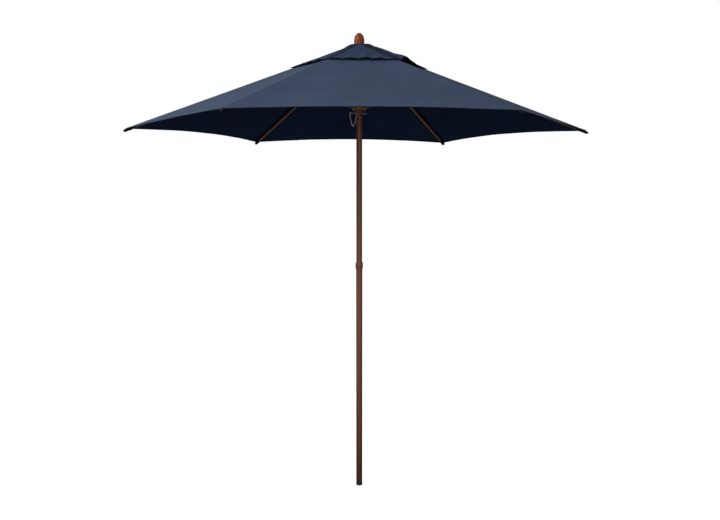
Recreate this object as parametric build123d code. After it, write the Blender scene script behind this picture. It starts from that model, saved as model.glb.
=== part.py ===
from build123d import *
import os
from math import atan, ceil, cos, degrees, hypot, pi, radians, sin, tan

# Six-rib market umbrella, opened, in millimetres. The origin is the centre of the pole's lower
# end, +Z is up, and the ribs lie at azimuths 0, 60, ... 300 degrees from +X.

# --- driving dimensions ------------------------------------------------------------------------
RIBS = 6
STEP = 360 / RIBS                 # azimuth from one rib to the next

CORNER_R = 1372.0                 # pole axis to a canopy corner: 2.744 m across, a 9 ft umbrella
CORNER_Z = 2146.0                 # height of a canopy corner
APEX_Z = 2644.5                   # height where the six ridge lines meet
HEM_ARCH = 60.0                   # how far the middle of a hem edge stands in from its chord
VENT_R = 300.0                    # corner radius of the vent opening in the main canopy
CAP_R = 405.0                     # corner radius of the vent cap
CAP_ARCH = 10.0
CAP_LIFT = 4.0                    # the cap's height above the ridge lines
CAP_EYE_R = 12.0                  # opening in the cap's middle for the finial stud
CLOTH = 1.2                       # thickness of the cloth with its coating
SEAM_GAP = 0.4                    # each panel stops this far from its ridge line

LOWER_R = 19.05                   # 1.5 in lower pole
LOWER_WALL = 1.4
LOWER_SPIGOT_R = 18.8             # turned down where the collar sits
LOWER_TOP = 1353.0
UPPER_R = 17.5                    # 35 mm upper pole, sliding in the lower one
UPPER_WALL = 1.5
UPPER_FOOT = 1190.0               # the upper pole stands this high on the stop
UPPER_TOP = 2618.0
FOOT_R = 18.9
FOOT_H = 28.0
COLLAR_R = 22.5
COLLAR_FOOT = 1322.0
COLLAR_TOP = 1363.0

CROWN_PIVOT_R = 40.0              # rib pivots in the crown hub
CROWN_R = 50.0
CROWN_FOOT = 2592.0
CROWN_NECK_R = 27.0
CROWN_NECK_H = 17.0
RIB_DROP = 13.1                   # rib centre line below its ridge line, square to it

RIB_W = 14.0
RIB_D = 18.0                      # rib depth at the crown
RIB_END_D = 12.0                  # rib depth at the tip
RIB_L = 1345.0
TIP_L = 60.0                      # peg beyond the rib's end
POCKET_L = 72.0
POCKET_W = 20.0
POCKET_D = 17.0
POCKET_WALL = 1.6

STRUT_AT = 550.0                  # strut bracket, along the rib from the crown pivot
STRUT_DROP = 18.0                 # strut pivot below the rib's centre line
STRUT_W = 11.0
STRUT_D = 13.0
STRUT_EYE_R = 6.5
BRACKET_L = 32.0
SHEET = 1.5                       # bracket sheet metal

RUNNER_PIVOT_R = 40.0             # strut pivots in the runner
RUNNER_PIVOT_Z = 2276.0
RUNNER_R = 47.5
RUNNER_FOOT = 2261.5
RUNNER_TOP = 2292.0
NECK_R = 28.0
NECK_FOOT = 2245.5
LINER_R = 20.6                    # plastic liner inside the runner
LINER_BORE = 17.9

PIVOT_R = 2.0                     # 4 mm pivot pins
RUNNING = 0.05                    # radial clearance of a pin in a moving eye
OPEN = 0.4                        # clearance beside an open pivot

LOCK_AZ = 210.0                   # azimuth of the lock pin's eye end, midway between two ribs
LOCK_Z = 2242.0
LOCK_R = 3.1
LOCK_TAIL = 52.0                  # pole axis to the pin's round tip
LOCK_EYE = 64.0                   # pole axis to the hole in the pin's flat eye
LOCK_HOLE_R = 3.3                 # cross holes in the upper pole

RING_R = 6.0                      # split ring on the pin, centre line radius
RING_WIRE = 0.8
RING_DROP = 6.6                   # ring's middle below the pin's axis
EYE_AZ = 240.0                    # screw eye in the runner's neck
EYE_Z = 2252.0
EYE_RING_R = 3.5
EYE_WIRE = 0.8
LINK_HALF = 4.4                   # chain link: centre to the middle of its end wire
LINK_BEND = 2.2
LINK_WIRE = 0.8
LINK_PITCH = 6.9
LINK_SLACK = 1.1                  # play of the end links on their rings
CHAIN_SAG = 71.0                  # the chain's lowest link below the middle of its two ends

STUD_R = 4.0
FINIAL_R = 31.0
FINIAL_TOP = 2710.0

# --- worked out from them ----------------------------------------------------------------------
FALL = APEX_Z - CORNER_Z
RIDGE = degrees(atan(FALL / CORNER_R))                        # slope of a rib
PANEL = degrees(atan(FALL / (CORNER_R * cos(pi / RIBS))))     # slope of a panel
CROWN_PIVOT_Z = APEX_Z - CROWN_PIVOT_R * tan(radians(RIDGE)) - RIB_DROP / cos(radians(RIDGE))
LOWER_BORE = LOWER_R - LOWER_WALL
UPPER_BORE = UPPER_R - UPPER_WALL


def turned(*outline):
    """A solid turned about the pole's axis from (radius, height) points."""
    return revolve(Plane.XZ * make_face(Polyline(*outline, close=True)), Axis.Z)


def tube(outer, inner, foot, top):
    return turned((inner, foot), (outer, foot), (outer, top), (inner, top))


def block(x0, x1, y0, y1, z0, z1):
    return Pos((x0 + x1) / 2, (y0 + y1) / 2, (z0 + z1) / 2) * Box(x1 - x0, y1 - y0, z1 - z0)


def rod(radius, start, end):
    """A round rod between two points."""
    run = Vector(*end) - Vector(*start)
    return extrude(Plane(origin=start, z_dir=run) * Circle(radius), amount=run.length)


def out_at(azimuth, radius, z):
    """The point at this azimuth, radius and height."""
    return (radius * cos(radians(azimuth)), radius * sin(radians(azimuth)), z)


def around(shape, count=RIBS, step=STEP):
    """Copies of a shape about the pole's axis."""
    return [Rot(0, 0, step * n) * shape for n in range(count)]


def save(name, *solids):
    shape = solids[0] if len(solids) == 1 else Compound(children=list(solids))
    export_step(shape, f"parts/{name}.step")


# --- pole --------------------------------------------------------------------------------------
def lower_pole():
    """Drawn tube with a turned-down end for the collar."""
    return turned((LOWER_BORE, FOOT_H), (LOWER_R, FOOT_H), (LOWER_R, COLLAR_FOOT),
                  (LOWER_SPIGOT_R, COLLAR_FOOT), (LOWER_SPIGOT_R, LOWER_TOP), (LOWER_BORE, LOWER_TOP))


def foot_cap():
    """Plastic cap with a plug pushed into the lower pole."""
    return turned((0, 0), (FOOT_R - 2, 0), (FOOT_R, 2), (FOOT_R, FOOT_H), (LOWER_BORE, FOOT_H),
                  (LOWER_BORE, FOOT_H + 22), (LOWER_BORE - 3, FOOT_H + 22), (LOWER_BORE - 3, 6), (0, 6))


def pole_collar():
    """Rounded collar over the top of the lower pole, with a lip that guides the upper one."""
    bulge = Plane.XZ * make_face(
        Polyline((LOWER_SPIGOT_R, COLLAR_FOOT), (COLLAR_R - 1.6, COLLAR_FOOT))
        + ThreePointArc((COLLAR_R - 1.6, COLLAR_FOOT), (COLLAR_R, (COLLAR_FOOT + COLLAR_TOP) / 2),
                        (COLLAR_R - 1.6, COLLAR_TOP - 2))
        + Polyline((COLLAR_R - 1.6, COLLAR_TOP - 2), (COLLAR_R - 3.6, COLLAR_TOP),
                   (UPPER_R + OPEN, COLLAR_TOP), (UPPER_R + OPEN, LOWER_TOP), (LOWER_SPIGOT_R, LOWER_TOP),
                   (LOWER_SPIGOT_R, COLLAR_FOOT)))
    return revolve(bulge, Axis.Z)


def pole_stop():
    """Plug inside the lower pole that the upper pole stands on."""
    top = UPPER_FOOT - 0.3
    return turned((8, top - 20), (LOWER_BORE, top - 20), (LOWER_BORE, top), (8, top))


def upper_pole():
    """Upper tube with cross holes for the lock pin and for the crown screws."""
    pole = tube(UPPER_R, UPPER_BORE, UPPER_FOOT, UPPER_TOP)
    far = 2 * UPPER_R
    pole -= rod(LOCK_HOLE_R, out_at(LOCK_AZ + 180, far, LOCK_Z), out_at(LOCK_AZ, far, LOCK_Z))
    for screw in crown_screw_shanks():
        pole -= screw
    return pole


# --- crown -------------------------------------------------------------------------------------
def slots(inner, width, foot, top):
    """Radial slots for ribs or struts, open outwards, above and below."""
    return around(block(inner, 2 * CROWN_R, -width / 2, width / 2, foot, top))


def crown_hub():
    """Turned hub on the upper pole's top, slotted for the rib ends."""
    neck = CROWN_FOOT - CROWN_NECK_H
    hub = turned((UPPER_R, neck), (CROWN_NECK_R, neck), (CROWN_NECK_R, CROWN_FOOT),
                 (CROWN_R - 3, CROWN_FOOT), (CROWN_R, CROWN_FOOT + 3), (CROWN_R, CROWN_PIVOT_Z + 6),
                 (CROWN_R - 2, CROWN_PIVOT_Z + 9), (14, UPPER_TOP + 21), (STUD_R, UPPER_TOP + 21),
                 (STUD_R, UPPER_TOP), (UPPER_R, UPPER_TOP))
    for slot in slots(30.5, RIB_W + 1.2, CROWN_FOOT - 1, UPPER_TOP + 30):
        hub -= slot
    for pin in crown_pins():
        hub -= pin
    for screw in crown_screw_shanks():
        hub -= screw
    return hub


def crown_pins():
    reach = RIB_W / 2 + 6
    return around(rod(PIVOT_R, (CROWN_PIVOT_R, -reach, CROWN_PIVOT_Z), (CROWN_PIVOT_R, reach, CROWN_PIVOT_Z)))


def crown_screw_shanks():
    height = CROWN_FOOT - CROWN_NECK_H / 2
    return [rod(1.75, out_at(azimuth, UPPER_BORE - 2, height), out_at(azimuth, CROWN_NECK_R, height))
            for azimuth in (30, 210)]


def crown_screws():
    """Two pan-head screws through the hub's neck into the pole."""
    height = CROWN_FOOT - CROWN_NECK_H / 2
    screws = []
    for azimuth, shank in zip((30, 210), crown_screw_shanks()):
        head = rod(3.2, out_at(azimuth, CROWN_NECK_R, height), out_at(azimuth, CROWN_NECK_R + 1.8, height))
        screws.append(shank + head)
    return screws


def finial():
    """Acorn finial with a beaded foot, hollowed under its rim to sit on the cap's slope."""
    seat = APEX_Z + CAP_LIFT + 0.6
    rim = seat - FINIAL_R * tan(radians(RIDGE))
    inner = seat - (STUD_R + 4) * tan(radians(RIDGE))
    body = make_face(
        Polyline((0, seat + 30), (STUD_R, seat + 30), (STUD_R, inner), (STUD_R + 4, inner),
                 (FINIAL_R - 1, rim))
        + ThreePointArc((FINIAL_R - 1, rim), (FINIAL_R, rim + 4), (FINIAL_R - 1.5, rim + 8))
        + Spline((FINIAL_R - 1.5, rim + 8), (FINIAL_R - 0.5, rim + 22), (FINIAL_R - 2.5, rim + 42),
                 (FINIAL_R - 7, rim + 55), (FINIAL_R - 17, FINIAL_TOP - 5.5), (0, FINIAL_TOP),
                 tangents=[(-0.1, 1), (-1, 0)])
        + Line((0, FINIAL_TOP), (0, seat + 30)))
    return revolve(Plane.XZ * body, Axis.Z)


def finial_stud():
    return rod(STUD_R, (0, 0, UPPER_TOP), (0, 0, APEX_Z + CAP_LIFT + 30))


# --- runner and lock ---------------------------------------------------------------------------
def runner_hub():
    """Turned disc slotted for the struts, with notches that are open below for their pins."""
    hub = turned((LINER_R, RUNNER_FOOT), (RUNNER_R - 7, RUNNER_FOOT), (RUNNER_R - 2, RUNNER_FOOT + 6),
                 (RUNNER_R, RUNNER_FOOT + 11), (RUNNER_R, RUNNER_TOP - 4), (RUNNER_R - 4, RUNNER_TOP),
                 (LINER_R, RUNNER_TOP))
    for slot in slots(31, STRUT_W + 1.6, RUNNER_FOOT - 1, RUNNER_TOP + 1):
        hub -= slot
    half = STRUT_W / 2 + 6 + OPEN
    wide = PIVOT_R + OPEN
    notch = block(RUNNER_PIVOT_R - wide, RUNNER_PIVOT_R + wide, -half, half, RUNNER_FOOT - 1, RUNNER_PIVOT_Z)
    notch += rod(wide, (RUNNER_PIVOT_R, -half, RUNNER_PIVOT_Z), (RUNNER_PIVOT_R, half, RUNNER_PIVOT_Z))
    for cut in around(notch):
        hub -= cut
    return hub


def runner_neck():
    """Turned neck under the disc, which rests on the lock pin."""
    neck = turned((LINER_R, NECK_FOOT), (NECK_R - 2, NECK_FOOT), (NECK_R, NECK_FOOT + 2),
                  (NECK_R, RUNNER_FOOT), (LINER_R, RUNNER_FOOT))
    return neck - chain_eye_shank()


def runner_liner():
    """Plastic liner that slides on the upper pole."""
    return turned((LINER_BORE, NECK_FOOT), (LINER_R, NECK_FOOT), (LINER_R, RUNNER_TOP),
                  (LINER_R + 4, RUNNER_TOP), (LINER_R + 4, RUNNER_TOP + 2), (LINER_BORE, RUNNER_TOP + 2))


def chain_eye_shank():
    return rod(EYE_WIRE, out_at(EYE_AZ, LINER_R + 1, EYE_Z), out_at(EYE_AZ, NECK_R + 1, EYE_Z))


def chain_eye():
    """Screw eye in the neck; its ring stands upright, edge on to the pole."""
    middle = out_at(EYE_AZ, NECK_R + 1 + EYE_RING_R, EYE_Z)
    ring = Plane(origin=middle, z_dir=out_at(EYE_AZ + 90, 1, 0)) * Torus(EYE_RING_R, EYE_WIRE)
    return chain_eye_shank() + ring


def lock_pin():
    """Steel cross pin with a round tip and a flat eye for its ring."""
    pin = rod(LOCK_R, (-LOCK_TAIL + LOCK_R, 0, LOCK_Z), (LOCK_EYE - 4, 0, LOCK_Z))
    pin += Pos(-LOCK_TAIL + LOCK_R, 0, LOCK_Z) * Sphere(LOCK_R)
    pin += rod(5.2, (LOCK_EYE, -1.5, LOCK_Z), (LOCK_EYE, 1.5, LOCK_Z))
    pin -= rod(2.2, (LOCK_EYE, -5, LOCK_Z), (LOCK_EYE, 5, LOCK_Z))
    return Rot(0, 0, LOCK_AZ) * pin


def chain_ring():
    """Split ring through the lock pin's eye, hanging square to the pin."""
    ring = Plane(origin=(LOCK_EYE, 0, LOCK_Z - RING_DROP), z_dir=(1, 0, 0)) * Torus(RING_R, RING_WIRE)
    return Rot(0, 0, LOCK_AZ) * ring


def chain_link():
    """Oval link, its length along X and its face square to Z."""
    straight = LINK_HALF - LINK_BEND
    link = Solid()
    for side in (-1, 1):
        link += rod(LINK_WIRE, (-straight, side * LINK_BEND, 0), (straight, side * LINK_BEND, 0))
    bend = Plane.XZ * Pos(LINK_BEND, 0) * Circle(LINK_WIRE)
    for turn in (-90, 90):
        half = Rot(0, 0, turn) * revolve(bend, Axis.Z, 180)
        link += Pos(straight if turn < 0 else -straight, 0, 0) * half
    return link


def chain_middles():
    """Middles of the links, evenly spaced along the hanging chain from the pin to the neck."""
    hook = LINK_HALF - LINK_WIRE - LINK_SLACK
    start = Vector(*out_at(LOCK_AZ, LOCK_EYE, LOCK_Z - RING_DROP - RING_R + RING_WIRE - hook))
    end = Vector(*out_at(EYE_AZ, NECK_R + 1 + EYE_RING_R, EYE_Z - EYE_RING_R + EYE_WIRE - hook))
    fine = 600
    curve = [start + (end - start) * (n / fine) - Vector(0, 0, 4 * CHAIN_SAG * n / fine * (1 - n / fine))
             for n in range(fine + 1)]
    length = [0.0]
    for here, there in zip(curve, curve[1:]):
        length.append(length[-1] + (there - here).length)
    links = ceil(length[-1] / LINK_PITCH) + 1
    middles = []
    for n in range(links):
        want = length[-1] * n / (links - 1)
        middles.append(next(p for p, run in zip(curve, length) if run >= want - 1e-6))
    return middles


def lock_chain():
    """Every other link lies flat in the chain's hanging plane, and the rest stand square to it."""
    middles = chain_middles()
    side = (middles[-1] - middles[0]).cross(Vector(0, 0, 1)).normalized()
    links = []
    for n, middle in enumerate(middles):
        before, after = middles[max(n - 1, 0)], middles[min(n + 1, len(middles) - 1)]
        along = (after - before).normalized()
        face = side if n % 2 == 0 else along.cross(side)
        links.append(Plane(origin=middle, x_dir=along, z_dir=face) * chain_link())
    print(f"chain: {len(links)} links, {LINK_PITCH * (len(links) - 1):.0f} mm along")
    return links


# --- ribs and struts ---------------------------------------------------------------------------
def rib_frame():
    """The frame of the rib at azimuth 0: X runs out along it and Y is square to it, upwards."""
    slope = radians(RIDGE)
    return Plane(origin=(CROWN_PIVOT_R, 0, CROWN_PIVOT_Z), x_dir=(cos(slope), 0, -sin(slope)),
                 z_dir=(0, -1, 0))


def rib_rivet_places():
    return [(STRUT_AT - 10, -2), (STRUT_AT + 10, -2)]


def rib():
    """Tapered bar with an eye at the crown; its top edge is straight."""
    side = make_face(Polyline((0, RIB_D / 2), (RIB_L, RIB_D / 2), (RIB_L, RIB_D / 2 - RIB_END_D),
                              (STRUT_AT + 60, -RIB_D / 2), (0, -RIB_D / 2), close=True))
    side += Circle(RIB_D / 2)
    bar = extrude(side, amount=RIB_W / 2, both=True)
    long_edges = [e for e in bar.edges() if e.length > STRUT_AT]
    bar = fillet(long_edges, 2.5)
    bar -= rod(PIVOT_R + RUNNING, (0, 0, -RIB_W), (0, 0, RIB_W))
    for x, y in rib_rivet_places():
        bar -= rod(1.5, (x, y, -RIB_W), (x, y, RIB_W))
    return rib_frame() * bar


def rib_tip():
    """Ferrule on the rib's end with a round peg that goes into the canopy's corner pocket."""
    middle = (RIB_D - RIB_END_D) / 2
    flange = block(RIB_L, RIB_L + 4, middle - RIB_END_D / 2, middle + RIB_END_D / 2, -RIB_W / 2, RIB_W / 2)
    peg = rod(4.5, (RIB_L + 4, middle, 0), (RIB_L + TIP_L, middle, 0))
    peg += Pos(RIB_L + TIP_L, middle, 0) * Sphere(4.5)
    return rib_frame() * (flange + peg)


def corner_pocket():
    """Sewn pocket at a canopy corner, open towards the rib."""
    start, end = RIB_L + 5, RIB_L + 5 + POCKET_L
    middle = (RIB_D - RIB_END_D) / 2 - 1
    outer = block(start, end, middle - POCKET_D / 2, middle + POCKET_D / 2, -POCKET_W / 2, POCKET_W / 2)
    outer = fillet(outer.edges().filter_by(Axis.X), 6)
    outer = chamfer(outer.faces().sort_by(Axis.X)[-1].edges(), 2)
    half_d, half_w = POCKET_D / 2 - POCKET_WALL, POCKET_W / 2 - POCKET_WALL
    inner = block(start - 1, end - 3, middle - half_d, middle + half_d, -half_w, half_w)
    return rib_frame() * (outer - fillet(inner.edges().filter_by(Axis.X), 4))


def rib_bracket():
    """Sheet-metal saddle riveted to the rib, with two ears for the strut, and its three rivets."""
    foot = make_hull((Pos(STRUT_AT, -3) * Rectangle(BRACKET_L, 12)).edges()
                     + (Pos(STRUT_AT, -STRUT_DROP) * Circle(STRUT_EYE_R)).edges())
    inner = RIB_W / 2
    ear = extrude(foot, amount=SHEET)
    saddle = Pos(0, 0, inner) * ear + Pos(0, 0, -inner - SHEET) * ear
    saddle += block(STRUT_AT - BRACKET_L / 2, STRUT_AT + BRACKET_L / 2, -RIB_D / 2 - SHEET, -RIB_D / 2,
                    -inner, inner)
    rivets = []
    for (x, y), radius in zip(rib_rivet_places() + [(STRUT_AT, -STRUT_DROP)], (1.5, 1.5, PIVOT_R)):
        reach = inner + SHEET
        shank = rod(radius, (x, y, -reach), (x, y, reach))
        saddle -= shank
        heads = rod(radius + 1.6, (x, y, -reach - 1), (x, y, -reach))
        heads += rod(radius + 1.6, (x, y, reach), (x, y, reach + 1))
        rivets.append(rib_frame() * (shank + heads))
    return [rib_frame() * saddle] + rivets


def strut_ends():
    """Outer and inner pivots of the strut at azimuth 0, as (radius, height)."""
    slope = radians(RIDGE)
    outer = (CROWN_PIVOT_R + STRUT_AT * cos(slope) - STRUT_DROP * sin(slope),
             CROWN_PIVOT_Z - STRUT_AT * sin(slope) - STRUT_DROP * cos(slope))
    return outer, (RUNNER_PIVOT_R, RUNNER_PIVOT_Z)


def strut():
    """Bar with an eye at each end."""
    (r1, z1), (r0, z0) = strut_ends()
    length = hypot(r1 - r0, z1 - z0)
    side = SlotCenterToCenter(length, STRUT_D)
    bar = extrude(Pos(length / 2, 0) * side, amount=STRUT_W / 2, both=True)
    bar = fillet([e for e in bar.edges() if e.length > length / 2], 2)
    bar -= rod(PIVOT_R, (0, 0, -STRUT_W), (0, 0, STRUT_W))
    bar -= rod(PIVOT_R + RUNNING, (length, 0, -STRUT_W), (length, 0, STRUT_W))
    return Plane(origin=(r0, 0, z0), x_dir=(r1 - r0, 0, z1 - z0), z_dir=(0, -1, 0)) * bar


def strut_pin():
    """Pin fixed in the strut's inner eye; it sits in the runner's notch."""
    reach = STRUT_W / 2 + 6
    return rod(PIVOT_R, (RUNNER_PIVOT_R, -reach, RUNNER_PIVOT_Z), (RUNNER_PIVOT_R, reach, RUNNER_PIVOT_Z))


# --- cloth -------------------------------------------------------------------------------------
def gore(apex, inner, outer, arch):
    """One flat panel between the ridges at azimuths 0 and 60, with a hem that arches inwards."""
    half, slope = radians(STEP / 2), radians(PANEL)
    normal = Vector(sin(slope) * cos(half), sin(slope) * sin(half), cos(slope))
    plane = Plane(origin=(0, 0, apex), x_dir=(-sin(half), cos(half), 0), z_dir=normal)
    down = cos(half) / cos(slope)
    side, near, far = outer / 2 - SEAM_GAP, -inner * down, -outer * down
    outline = make_face(
        Polyline((side, far), (inner / 2 - SEAM_GAP, near), (SEAM_GAP - inner / 2, near), (-side, far))
        + ThreePointArc((-side, far), (0, far + arch), (side, far)))
    return extrude(plane * outline, amount=-CLOTH)


def write_all():
    os.makedirs("parts", exist_ok=True)
    save("lower_pole", lower_pole())
    save("foot_cap", foot_cap())
    save("pole_collar", pole_collar())
    save("pole_stop", pole_stop())
    save("upper_pole", upper_pole())
    save("crown_hub", crown_hub())
    save("crown_pins", *crown_pins())
    save("crown_screws", *crown_screws())
    save("finial", finial())
    save("finial_stud", finial_stud())
    save("runner_hub", runner_hub())
    save("runner_neck", runner_neck())
    save("runner_liner", runner_liner())
    save("chain_eye", chain_eye())
    save("lock_pin", lock_pin())
    save("chain_ring", chain_ring())
    save("lock_chain", *lock_chain())
    for name, solids in (("rib", [rib()]), ("rib_tip", [rib_tip()]), ("corner_pocket", [corner_pocket()]),
                         ("rib_bracket", rib_bracket()), ("strut", [strut()]), ("strut_pin", [strut_pin()])):
        for n in range(RIBS):
            save(f"{name}_{n + 1}", *[Rot(0, 0, STEP * n) * solid for solid in solids])
    for n, panel in enumerate(around(gore(APEX_Z, VENT_R, CORNER_R - 5, HEM_ARCH))):
        save(f"canopy_panel_{n + 1}", panel)
    save("vent_cap", *around(gore(APEX_Z + CAP_LIFT, CAP_EYE_R, CAP_R, CAP_ARCH)))


write_all()
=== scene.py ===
"""Looks of a six-rib market umbrella: navy vented canopy, wooden ribs, brown pole, lock pin on a chain."""
from collections import namedtuple
from math import atan, atan2, ceil, cos, hypot, pi, radians, sin, tan

import bpy
import numpy as np
from mathutils import Euler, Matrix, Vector


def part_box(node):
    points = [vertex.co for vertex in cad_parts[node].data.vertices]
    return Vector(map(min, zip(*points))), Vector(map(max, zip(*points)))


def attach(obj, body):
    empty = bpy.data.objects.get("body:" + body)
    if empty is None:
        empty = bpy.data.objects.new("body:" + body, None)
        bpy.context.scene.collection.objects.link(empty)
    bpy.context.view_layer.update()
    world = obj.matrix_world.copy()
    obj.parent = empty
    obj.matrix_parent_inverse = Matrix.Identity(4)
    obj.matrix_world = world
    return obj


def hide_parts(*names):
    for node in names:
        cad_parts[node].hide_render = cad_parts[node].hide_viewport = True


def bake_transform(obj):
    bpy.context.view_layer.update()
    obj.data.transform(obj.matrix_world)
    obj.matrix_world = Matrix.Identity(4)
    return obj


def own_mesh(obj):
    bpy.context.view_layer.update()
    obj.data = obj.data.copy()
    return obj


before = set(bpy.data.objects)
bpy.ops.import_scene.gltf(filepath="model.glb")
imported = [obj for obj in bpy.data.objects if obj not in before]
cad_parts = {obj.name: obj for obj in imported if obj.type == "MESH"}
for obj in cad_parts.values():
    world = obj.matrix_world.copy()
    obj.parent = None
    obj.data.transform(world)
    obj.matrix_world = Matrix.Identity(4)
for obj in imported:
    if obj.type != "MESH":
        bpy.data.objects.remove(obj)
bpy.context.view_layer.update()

# --- sizes in metres, as the CAD has them ----------------------------------------------------------
RIBS = 6
RIB_TURN = 60                   # degrees from one rib to the next
HALF_GORE = pi / 6              # a gore is the cloth between two ribs
CORNER_R, CORNER_Z, APEX_Z = 1.372, 2.146, 2.6445
PANEL_R = 1.367                 # cloth's corner radius
HEM_ARCH = 0.060
VENT_R = 0.300
CAP_R, CAP_ARCH, CAP_LIFT, CAP_EYE_R = 0.405, 0.010, 0.004, 0.012
CLOTH = 0.0012
PIVOT_R, RIB_DROP = 0.040, 0.0131
SLOPE_RIB = atan((APEX_Z - CORNER_Z) / CORNER_R)
SLOPE_PANEL = atan((APEX_Z - CORNER_Z) / (CORNER_R * cos(HALF_GORE)))
PIVOT_Z = APEX_Z - PIVOT_R * tan(SLOPE_RIB) - RIB_DROP / cos(SLOPE_RIB)
TAN_GORE = cos(SLOPE_PANEL) * tan(HALF_GORE)    # a gore's half width for each metre down its slope
POCKET = (1.350, 1.422)         # along the rib from its pivot

LOCK_AZ, LOCK_EYE, LOCK_Z = 210, 0.064, 2.242   # hole in the lock pin's eye
RING_R, RING_DROP = 0.006, 0.0066               # ring on the pin
EYE_AZ, EYE_Z, EYE_RING_R = 240, 2.252, 0.0035  # screw eye in the runner's neck
NECK_R, EYE_SHANK = 0.028, 0.001
LINK_HALF, LINK_BEND, WIRE, LINK_PITCH, LINK_SLACK = 0.0044, 0.0022, 0.0008, 0.0069, 0.0011
CHAIN_SAG = 0.071

# --- sizes of the cloth's detail ---------------------------------------------------------------------
STRIP = 0.025                   # half width of the cloth strip that stays on each rib
TOP_R = STRIP / tan(HALF_GORE)  # the middle patch of the cap reaches this far along each rib
FOLD_R, FOLD_TILT = 0.6, radians(20)            # the folded half gore's anchor along the rib, and its tilt
RIDGE_FALL = 0.2098             # fall of a gore's plane for each metre away from its ridge
RIDGE_ROUND, RIDGE_FADE = 0.004, 0.08
BOW_ROUND = 0.008
SAG, HEM_SAG = 0.015, 0.003
BROAD_HEIGHT, BROAD_WAVE = 0.0014, 0.38         # unevenness of the tight cloth
FINE_HEIGHT, FINE_WAVE = 0.0004, 0.16
PULL_HEIGHT, PULL_REACH, PULL_START = 0.0010, 0.26, 0.10
HEM_ROLL, HEM_ROLL_WIDTH = 0.0022, 0.006        # the hem's edge bends down
CAP_ROUND = (0.045, 0.12)       # radii between which the cap turns from round to six-sided
SHOULDER, SHOULDER_UP, SHOULDER_DOWN = 0.0092, (0.028, 0.048), (0.054, 0.105)
CAP_LOOSE_Q, CAP_HEM_RISE = 0.05, 0.0018        # the cap is loose from here down its slope
HEM_FOLD, HEM_EXTRA = (0.016, 0.019), 0.0011    # where the turned-in hem ends, and its thickness
SEAM_FOLD, SEAM_EXTRA = (0.010, 0.013), 0.0008
THREAD_PITCH, STITCH_PITCH, PUCKER_PITCH = 0.0011, 0.0045, 0.017
SEAM_STITCHES, HEM_STITCHES = (0.0035, 0.0095), (0.0035, 0.0155)
STITCH_EDGE = (0.00035, 0.0007)
HEM_SHADE, RIDGE_DARK = (0.0, 0.006), (0.0016, 0.0045)   # painted shade at the hem's edge, dark seam at the ridges: darkest up to the first, plain at the second
PUCKER_REACH = (0.004, 0.045)
UV_STEP = 3.0                   # sets the gores apart, so that their wear doesn't repeat
POCKET_WIDE, POCKET_DEEP, POCKET_RISE = 0.0098, 0.0082, 0.002
POCKET_BORE = (0.86, 0.84)      # hole's width and depth, as shares of the outside
POCKET_SQUARE, POCKET_TAPER = 0.62, 0.62        # section's exponent, and how far its end closes
FRONT_LEFT, FRONT, FRONT_RIGHT = 3, 4, 5        # gores on the camera's side
CAP_BILLOW = {FRONT_LEFT: 0.007, FRONT: 0.011, FRONT_RIGHT: 0.023}
CAP_BILLOW_ELSEWHERE = 0.008


def smooth(lo, hi, x):
    t = np.clip((np.asarray(x, float) - lo) / (hi - lo), 0, 1)
    return t * t * (3 - 2 * t)


def ripples(u, v, seed, wave, count=7):
    """Smooth irregular field about 1 high, with features about one wavelength across."""
    rng = np.random.default_rng(seed)
    total = np.zeros_like(u)
    for _ in range(count):
        turn, size, phase = rng.uniform(0, 2 * pi), rng.uniform(0.7, 1.5), rng.uniform(0, 2 * pi)
        k = 2 * pi / wave * size
        total += np.sin(k * (u * cos(turn) + v * sin(turn)) + phase)
    return total / count ** 0.5


def compass(azimuth):
    """Level unit vectors at an azimuth in degrees: outwards, and square to it towards higher azimuth."""
    a = radians(azimuth)
    return np.array([cos(a), sin(a), 0]), np.array([-sin(a), cos(a), 0])


def at(azimuth, radius, z):
    """Point at an azimuth in degrees, a distance from the pole's axis, and a height."""
    return compass(azimuth)[0] * radius + np.array([0, 0, z])


def slope_axes(azimuth, slope):
    """Unit vectors of a slope that falls outwards: down it, across it, and square to it upwards."""
    out, side = compass(azimuth)
    up = np.array([0, 0, 1.0])
    return cos(slope) * out - sin(slope) * up, side, sin(slope) * out + cos(slope) * up


def gore_axes(g):
    return slope_axes(RIB_TURN * g + RIB_TURN // 2, SLOPE_PANEL)


def rib_axes(k):
    return slope_axes(RIB_TURN * (k - 1), SLOPE_RIB)


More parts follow.
